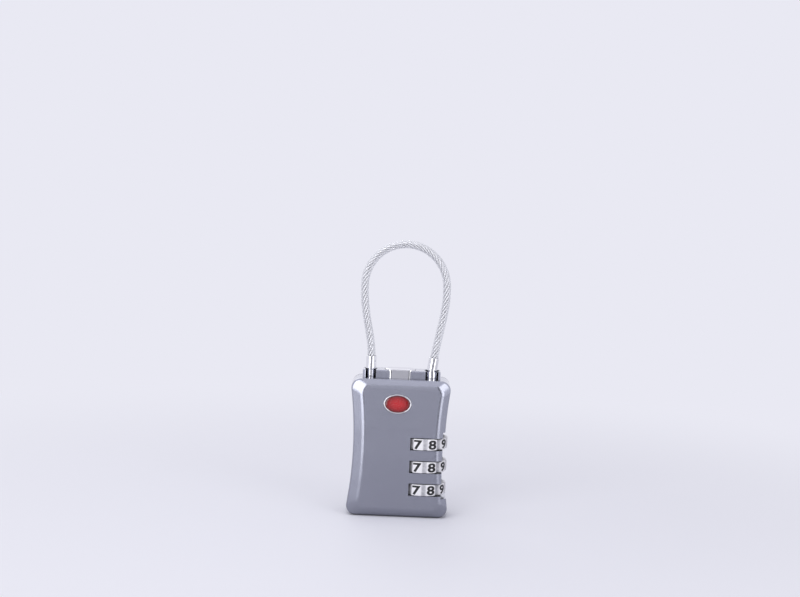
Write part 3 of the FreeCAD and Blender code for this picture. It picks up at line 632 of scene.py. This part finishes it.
def digitPiece(name, digit, centre, radius, low, high):
    # x along the text becomes an arc round the wheel, y becomes height, and z becomes the ink's thickness.
    mesh = digitMesh(digit)
    sliceUpright(mesh)
    co = readPoints(mesh)
    lowest, highest = co.min(0), co.max(0)
    scale = digits["height"] / (highest[1] - lowest[1])
    across = (co[:, 0] - (lowest[0] + highest[0]) / 2) * scale * digits["width"]
    angle = digitAngle(digit) + across / radius
    height = (low + high) / 2 + (co[:, 1] - (lowest[1] + highest[1]) / 2) * scale
    r = radius + np.where(co[:, 2] > 0, digits["inkLift"], -digits["inkRoot"])
    placed = np.stack([centre + r * np.cos(angle), r * np.sin(angle), height], -1)
    mesh.vertices.foreach_set("co", placed.reshape(-1).astype(np.float32))
    mesh.update()
    mesh.materials.clear()
    mesh.materials.append(digitInk)
    piece = bpy.data.objects.new(name, mesh)
    scene.collection.objects.link(piece)
    return piece


for number in (1, 2, 3):
    node = f"dial_{number}"
    lowCorner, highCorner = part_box(node)
    low, high = lowCorner.z, highCorner.z
    centre = (lowCorner.x + highCorner.x) / 2
    radius = (highCorner.y - lowCorner.y) / 2 - dials["padDrop"]
    wheel = dialSurface(f"number_wheel_{number}", centre, radius, low, high)
    inked = [digitPiece(f"digit_{number}_{digit}", digit, centre, radius, low, high)
             for digit in range(dials["positions"])]
    printed = joinPieces(f"wheel_digits_{number}", inked)
    for piece in (wheel, printed):
        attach(piece, node)
    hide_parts(node)
print("dials built")


# Badge.

badge = {"rings": 26, "around": 96, "dome": 0.42 * mm, "domeReach": 0.97, "rimAround": 128, "rimSection": 20}


def badgeDome():
    # An elliptical dome: its height over the middle falls as one less the root of one less the squared
    # distance, like part of a circle. A flat closes it behind.
    low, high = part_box("badge_disc")
    middle, half = (low + high) / 2, (high - low) / 2
    out = np.linspace(0, 1, badge["rings"])
    turn = np.linspace(0, 2 * np.pi, badge["around"], endpoint=False)
    circle = np.sqrt(np.clip(1 - badge["domeReach"] * out ** 2, 0, 1))
    crown = low.y + badge["dome"] * (1 - circle)
    rho = np.concatenate([out, [1.0, 0.0]])
    depth = np.concatenate([crown, [high.y, high.y]])
    x = middle.x + half.x * rho[None, :] * np.cos(turn)[:, None]
    z = middle.z + half.z * rho[None, :] * np.sin(turn)[:, None]
    points = np.stack([x, np.tile(depth, (len(turn), 1)), z], -1)
    dome = gridPiece("badge_dome", points, redEnamel, closeU=True)
    setFloat(dome, "rimward", np.tile(rho, (len(turn), 1)))
    closePoles(dome)
    return dome


def badgeRim():
    # A ring carried round an ellipse: its section is a half circle in front and flat behind.
    low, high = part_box("badge_rim")
    middle, half = (low + high) / 2, (high - low) / 2
    width = (high.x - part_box("badge_disc")[1].x) / 2
    turn = np.linspace(0, 2 * np.pi, badge["rimAround"], endpoint=False)
    around = np.linspace(0, 2 * np.pi, badge["rimSection"], endpoint=False)
    front = low.y + width
    offset = width * np.cos(around)
    rise = np.sin(around)
    depth = np.where(rise > 0, front - width * rise, high.y)
    depth = np.where(np.isclose(rise, 0), front, depth)  # where the half circle meets the flat
    x = middle.x + (half.x - width + offset[None, :]) * np.cos(turn)[:, None]
    z = middle.z + (half.z - width + offset[None, :]) * np.sin(turn)[:, None]
    points = np.stack([x, np.tile(depth, (len(turn), 1)), z], -1)
    return gridPiece("badge_ring", points, chrome, closeU=True, closeV=True)


domePiece = badgeDome()
ringPiece = badgeRim()
for piece, node, slotName in ((domePiece, "badge_disc", "enamel_red"), (ringPiece, "badge_rim", "chrome")):
    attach(piece, "housing")
    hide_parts(node)
print("badge built")


# Cable: the rope and its coat.

cable = {"diameter": 2.5 * mm, "ropeDiameter": 2.06 * mm, "strands": 6, "strandFill": 1.02, "lay": 10.0 * mm,
         "wires": 7, "wireDepth": 0.05, "wireTwist": 0.45, "sunkenFrom": 0.95, "sunkenOver": 0.28,
         "coatGap": 0.03 * mm, "strandSides": 21, "coatSides": 32, "lineSteps": 16,
         "bodyTop": 43.0 * mm, "anchorX": -9.585 * mm, "socketX": 9.385 * mm,
         "blendFoot": (-9.3 * mm, 47.0 * mm), "blendWidth": 18.6 * mm, "blendSlope": 0.5}
cable["route"] = [
    (cable["anchorX"] / mm, 3.8), (cable["anchorX"] / mm, 8.4), (-10.5, 14.0), (-11.8, 19.8), (-12.5, 25.9),
    (-12.4, 32.4), (-9.0, 38.2), (-3.2, 41.6), (3.6, 41.6), (9.4, 38.2), (12.8, 32.4), (13.1, 25.9),
    (12.4, 19.9), (11.3, 14.4), (cable["socketX"] / mm + 0.85, 8.9), (cable["socketX"] / mm + 0.2, 4.2),
]


def cableLine():
    # The route as one smooth line, read back as points.
    curve = bpy.data.curves.new("cableRoute", "CURVE")
    curve.dimensions = "3D"
    spline = curve.splines.new("NURBS")
    spline.points.add(len(cable["route"]) - 1)
    for point, (x, z) in zip(spline.points, cable["route"]):
        point.co = (x * mm, 0, cable["bodyTop"] + z * mm, 1)
    spline.order_u = 3
    spline.use_endpoint_u = True
    curve.resolution_u = cable["lineSteps"]
    return readPoints(curveMesh(curve)).astype(float)


def lineFrames(line):
    # At each point two directions square to the line: side lies in the loop's plane, across is square to it.
    tangent = np.gradient(line, axis=0)
    tangent /= np.linalg.norm(tangent, axis=1, keepdims=True)
    across = np.tile([0.0, 1.0, 0.0], (len(line), 1))
    return np.cross(across, tangent), across


def ropeStrands(line):
    # Each strand is a helix about the line, right-handed, and its section has one lobe for each wire. The
    # last strand is the straight one in the middle.
    side, across = lineFrames(line)
    run = np.concatenate([[0], np.cumsum(np.linalg.norm(np.diff(line, axis=0), axis=1))])
    strandRadius = cable["ropeDiameter"] / 2 / 3 * cable["strandFill"]
    ringRadius = cable["ropeDiameter"] / 2 - strandRadius
    around = np.linspace(0, 2 * np.pi, cable["strandSides"], endpoint=False)
    twist = -2 * np.pi * run / (cable["lay"] * cable["wireTwist"])
    wave = np.abs(np.cos((around[None, :] + twist[:, None]) * cable["wires"] / 2))
    r = strandRadius * (1 - cable["wireDepth"] * (1 - wave))
    parts = []
    for k in range(cable["strands"] + 1):
        if k < cable["strands"]:
            phase = 2 * np.pi * (k / cable["strands"] + run / cable["lay"])
            middle = line + ringRadius * (np.cos(phase)[:, None] * side + np.sin(phase)[:, None] * across)
        else:
            middle = line
        points = (middle[:, None, :] + (r * np.cos(around))[..., None] * side[:, None, :]
                  + (r * np.sin(around))[..., None] * across[:, None, :])
        points = np.concatenate([middle[:1, None, :].repeat(len(around), 1), points,
                                 middle[-1:, None, :].repeat(len(around), 1)], 0)
        centre = np.concatenate([line[:1], line, line[-1:]])
        away = np.linalg.norm(points - centre[:, None, :], axis=2) / (cable["ropeDiameter"] / 2)
        strand = gridPiece(f"strand_{k}", points, ropeSteel, closeV=True)
        # sunken: how far a point lies inside the rope, which the material darkens as painted shade.
        setFloat(strand, "sunken", np.clip((cable["sunkenFrom"] - away) / cable["sunkenOver"], 0, 1))
        closePoles(strand)
        parts.append(strand)
    return joinPieces("rope_strands", parts)


def jacketTube(line):
    # A tube with a wall: out along the outer radius and back along the inner one, closed at both ends.
    side, across = lineFrames(line)
    around = np.linspace(0, 2 * np.pi, cable["coatSides"], endpoint=False)
    ring = (np.cos(around)[None, :, None] * side[:, None, :]
            + np.sin(around)[None, :, None] * across[:, None, :])
    outer = line[:, None, :] + ring * cable["diameter"] / 2
    inner = line[:, None, :] + ring * (cable["ropeDiameter"] / 2 + cable["coatGap"])
    points = np.concatenate([outer, inner[::-1]], 0)
    return gridPiece("cable_coat", points, clearVinyl, closeU=True, closeV=True)


line = cableLine()
coat = jacketTube(line)
rope = ropeStrands(line)
for piece, node, slotName in ((coat, "cable_jacket", "clear_vinyl"), (rope, "cable_rope", "steel_rope")):
    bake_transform(piece)
    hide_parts(node)


# Springs: two coils and a detent strip for each wheel.

springs = {"buttonTurns": 6, "latchTurns": 3, "buttonWire": 0.2 * mm, "latchWire": 0.15 * mm,
           "closedTurn": 0.75, "travel": 1.6 * mm, "stepsPerTurn": 40, "sides": 12}


def coilPiece(name, node, along, turns, wire):
    # A round wire carried along a helix inside the node's box; its first and last turns lie closed.
    low, high = (np.array(corner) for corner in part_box(node))
    length = high[along] - low[along]
    middle = (low + high) / 2
    acrossAxes = [(along + 1) % 3, (along + 2) % 3]
    radius = (high[acrossAxes[0]] - low[acrossAxes[0]]) / 2 - wire
    lastPhase = 2 * np.pi * (turns + 2 * springs["closedTurn"])
    phase = np.linspace(0, lastPhase, springs["stepsPerTurn"] * turns)
    closed = 2 * np.pi * springs["closedTurn"]
    rise = np.clip((phase - closed) / (phase[-1] - 2 * closed), 0, 1)
    centre = np.zeros((len(phase), 3))
    centre[:, along] = low[along] + wire + (length - 2 * wire) * rise
    centre[:, acrossAxes[0]] = middle[acrossAxes[0]] + radius * np.cos(phase)
    centre[:, acrossAxes[1]] = middle[acrossAxes[1]] + radius * np.sin(phase)
    outward = np.zeros_like(centre)
    outward[:, acrossAxes[0]] = np.cos(phase)
    outward[:, acrossAxes[1]] = np.sin(phase)
    upward = np.zeros(3)
    upward[along] = 1.0
    around = np.linspace(0, 2 * np.pi, springs["sides"], endpoint=False)
    points = centre[:, None, :] + wire * (np.cos(around)[None, :, None] * outward[:, None, :]
                                          + np.sin(around)[None, :, None] * upward)
    caps = [centre[k][None, None, :].repeat(len(around), 1) for k in (0, -1)]
    points = np.concatenate([caps[0], points, caps[1]], 0)
    coil = gridPiece(name, points, springSteel, closeV=True)
    closePoles(coil)
    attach(coil, "housing")
    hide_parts(node)
    return coil, low, high


def addSprings():
    # The button coil and the latch coil, each with a mesh of its own.
    coil, low, high = coilPiece("button_coil", "button_spring", 2, springs["buttonTurns"],
                                springs["buttonWire"])
    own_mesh(coil)
    coil, low, high = coilPiece("latch_coil", "latch_spring", 0, springs["latchTurns"], springs["latchWire"])
    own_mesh(coil)


detent = {"thickness": 0.3 * mm, "gap": 0.05 * mm, "noseWidth": 0.85 * mm, "noseStep": 5,
          "along": 72, "around": 16}


def detentStrip(number):
    # A strip standing on edge: its middle line is straight but for a bell-shaped nose, whose height falls
    # with the exponential of minus the squared distance. The section has rolled edges. The nose is drawn
    # pressed back to the wheel's full radius, so that the wheel turns past it.
    low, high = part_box(f"detent_spring_{number}")
    wheelLow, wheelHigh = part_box(f"dial_{number}")
    radius = (wheelHigh.y - wheelLow.y) / 2
    axis = (wheelLow.x + wheelHigh.x) / 2
    half = detent["thickness"] / 2
    noseAngle = digitAngle(detent["noseStep"]) - math.pi / dials["positions"]
    noseY = radius * math.sin(noseAngle)
    noseX = axis - math.sqrt(radius ** 2 - noseY ** 2) - detent["gap"] - half
    seatX = low.x + half
    y = np.linspace(low.y + half, high.y - half, detent["along"])
    x = seatX + (noseX - seatX) * np.exp(-((y - noseY) / detent["noseWidth"]) ** 2)
    slope = np.gradient(x, y)
    normal = np.stack([np.ones_like(y), -slope], -1) / np.sqrt(1 + slope ** 2)[:, None]
    turn = (np.arange(detent["around"]) + 0.5) * 2 * np.pi / detent["around"]
    outward = half * np.cos(turn)
    middleZ = (low.z + high.z) / 2
    z = middleZ + np.sign(np.sin(turn)) * ((high.z - low.z) / 2 - half) + half * np.sin(turn)
    ring = np.stack([x[:, None] + normal[:, :1] * outward, y[:, None] + normal[:, 1:] * outward,
                     np.tile(z, (len(y), 1))], -1)
    caps = [np.tile([x[k], y[k], middleZ], (1, len(turn), 1)) for k in (0, -1)]
    points = np.concatenate([caps[0], ring, caps[1]])
    strip = gridPiece(f"detent_strip_{number}", points, springSteel, closeV=True)
    closePoles(strip)
    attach(strip, "housing")
    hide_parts(f"detent_spring_{number}")


addSprings()
for number in (1, 2, 3):
    detentStrip(number)
print("springs built")


# Floor, light and camera.

stage = {"background": (0.815, 0.815, 0.896), "floorColor": (0.86, 0.86, 0.92), "floorRoughness": 0.7,
         "mirroredFloor": (0.42, 0.42, 0.47), "floorRings": (0.0, 0.03, 0.08, 0.16),
         "floorRadius": 0.7, "floorSides": 96, "fade": (0.05, 0.26), "worldLight": 0.5}


def backgroundRays(tree):
    # 1 for rays that see the background: from the camera, a reflection or glass.
    path = addNode(tree, "ShaderNodeLightPath")
    seen = mathNode(tree, "MAXIMUM", path.outputs["Is Camera Ray"], path.outputs["Is Glossy Ray"])
    return mathNode(tree, "MAXIMUM", seen, path.outputs["Is Transmission Ray"])


def makeFloor():
    # A round table top that fades into the plain background: as colour to the camera, and as a gap to
    # every other ray.
    turn = np.linspace(0, 2 * np.pi, stage["floorSides"], endpoint=False)
    rings = np.array([*stage["floorRings"], stage["fade"][1], stage["floorRadius"]])
    x = rings[:, None] * np.cos(turn)[None, :]
    y = rings[:, None] * np.sin(turn)[None, :]
    points = np.stack([x, y, np.zeros_like(x)], -1)
    material = bpy.data.materials.new("paleFloor")
    material.use_nodes = True
    tree = material.node_tree
    shader = tree.nodes["Principled BSDF"]
    shader.inputs["Roughness"].default_value = stage["floorRoughness"]
    path = addNode(tree, "ShaderNodeLightPath")
    shade = mixColors(tree, path.outputs["Is Glossy Ray"], stage["floorColor"], stage["mirroredFloor"])
    tree.links.new(shade, shader.inputs["Base Color"])
    beyond = addNode(tree, "ShaderNodeMixShader")
    tree.links.new(path.outputs["Is Camera Ray"], beyond.inputs[0])
    tree.links.new(addNode(tree, "ShaderNodeBsdfTransparent").outputs[0], beyond.inputs[1])
    glow = addNode(tree, "ShaderNodeEmission", {"Color": (*stage["background"], 1), "Strength": 1.0})
    tree.links.new(glow.outputs[0], beyond.inputs[2])
    coords = addNode(tree, "ShaderNodeTexCoord")
    away = addNode(tree, "ShaderNodeVectorMath", operation="LENGTH")
    tree.links.new(coords.outputs["Object"], away.inputs[0])
    fade = addNode(tree, "ShaderNodeMapRange", {"From Min": stage["fade"][0], "From Max": stage["fade"][1]},
                   interpolation_type="SMOOTHSTEP")
    tree.links.new(away.outputs["Value"], fade.inputs["Value"])
    mix = addNode(tree, "ShaderNodeMixShader")
    tree.links.new(fade.outputs["Result"], mix.inputs[0])
    tree.links.new(shader.outputs[0], mix.inputs[1])
    tree.links.new(beyond.outputs[0], mix.inputs[2])
    tree.links.new(mix.outputs[0], tree.nodes["Material Output"].inputs[0])
    gridPiece("studio_floor", points, material, closeV=True)


def makeWorld():
    # Background rays see the full colour, and the object is lit by a share of it.
    world = bpy.data.worlds.new("studioWorld")
    world.use_nodes = True
    tree = world.node_tree
    background = tree.nodes["Background"]
    background.inputs["Color"].default_value = (*stage["background"], 1)
    strength = mapRange(tree, backgroundRays(tree), 0.0, 1.0, stage["worldLight"], 1.0)
    tree.links.new(strength, background.inputs["Strength"])
    scene.world = world


lamps = {
    "leftBox": {"place": (-0.34, -0.57, 0.14), "size": (0.44, 0.90), "power": 2.5, "mirrored": True},
    "rightBox": {"place": (0.42, -0.50, 0.16), "size": (0.26, 0.85), "power": 0.95, "mirrored": True},
    "topBox": {"place": (-0.06, -0.05, 0.62), "size": (0.55, 0.50), "power": 1.3, "mirrored": False},
    "backBox": {"place": (-0.20, 0.70, 0.43), "size": (0.5, 0.36), "power": 0.7, "mirrored": True},
}
lampTarget = Vector((0, 0, 0.045))


def softBox(name, place, size, power, mirrored):
    # A rectangular lamp turned towards the middle of the lock.
    lamp = bpy.data.lights.new(name, "AREA")
    lamp.shape = "RECTANGLE"
    lamp.size, lamp.size_y = size
    lamp.energy = power
    holder = bpy.data.objects.new(name, lamp)
    holder.location = place
    holder.rotation_euler = (lampTarget - Vector(place)).to_track_quat("-Z", "Y").to_euler()
    holder.visible_camera = False
    holder.visible_glossy = mirrored
    scene.collection.objects.link(holder)


cards = {
    "frontCard": {"centre": (0.0, -0.45, 0.10), "size": (0.19, 0.70), "shade": 0.9},
    "flagCard_0": {"centre": (-0.135, -0.44, 0.10), "size": (0.075, 0.70), "shade": 0.02},
    "flagCard_2": {"centre": (0.135, -0.44, 0.10), "size": (0.075, 0.70), "shade": 0.02},
}
cardBlue = 1.05


def reflectedCard(name, centre, size, shade):
    # An upright card facing the lock, seen only in reflections: the pale one brightens the glossy fronts,
    # and the dark ones draw the edges of chrome.
    material = bpy.data.materials.new(name)
    material.use_nodes = True
    shader = material.node_tree.nodes["Principled BSDF"]
    shader.inputs["Base Color"].default_value = (shade, shade, shade * cardBlue, 1)
    shader.inputs["Roughness"].default_value = 1.0
    direction = Vector((centre[0], centre[1], 0)).normalized()
    side = np.array(Vector((0, 0, 1)).cross(direction)) * size[0] / 2
    up = np.array([0, 0, size[1] / 2])
    middle = np.array(centre)
    points = np.array([[middle - side - up, middle + side - up], [middle - side + up, middle + side + up]])
    card = gridPiece(name, points, material)
    card.visible_camera = False
    card.visible_diffuse = False
    card.visible_shadow = False


makeFloor()
makeWorld()
for name, lamp in lamps.items():
    softBox(name, **lamp)
for name, card in cards.items():
    reflectedCard(name, **card)

view = {"lens": 85.0, "sensor": 36.0, "elevation": 6.0, "roll": 2.28, "target": (-0.00145, 0.0, 0.0677),
        "frameWidth": 0.248, "clip": (0.01, 50)}


def makeCamera():
    # In front of the lock and a little above its middle, rolled so that the lock leans to the right.
    camera = bpy.data.cameras.new("frontCamera")
    camera.lens, camera.sensor_width = view["lens"], view["sensor"]
    camera.clip_start, camera.clip_end = view["clip"]
    distance = view["frameWidth"] * view["lens"] / view["sensor"]
    rise = math.radians(view["elevation"])
    target = Vector(view["target"])
    holder = bpy.data.objects.new("frontCamera", camera)
    holder.location = target + Vector((0, -math.cos(rise), math.sin(rise))) * distance
    turn = (target - holder.location).to_track_quat("-Z", "Y").to_matrix()
    holder.rotation_euler = (turn @ Matrix.Rotation(math.radians(view["roll"]), 3, "Z")).to_euler()
    scene.collection.objects.link(holder)
    scene.camera = holder


makeCamera()
scene.view_settings.view_transform = "Standard"
print("stage set")

for piece in scene.objects:
    if piece.type == "MESH" and piece.name not in nodes:
        print(piece.name, sum(len(polygon.vertices) - 2 for polygon in piece.data.polygons), "triangles")
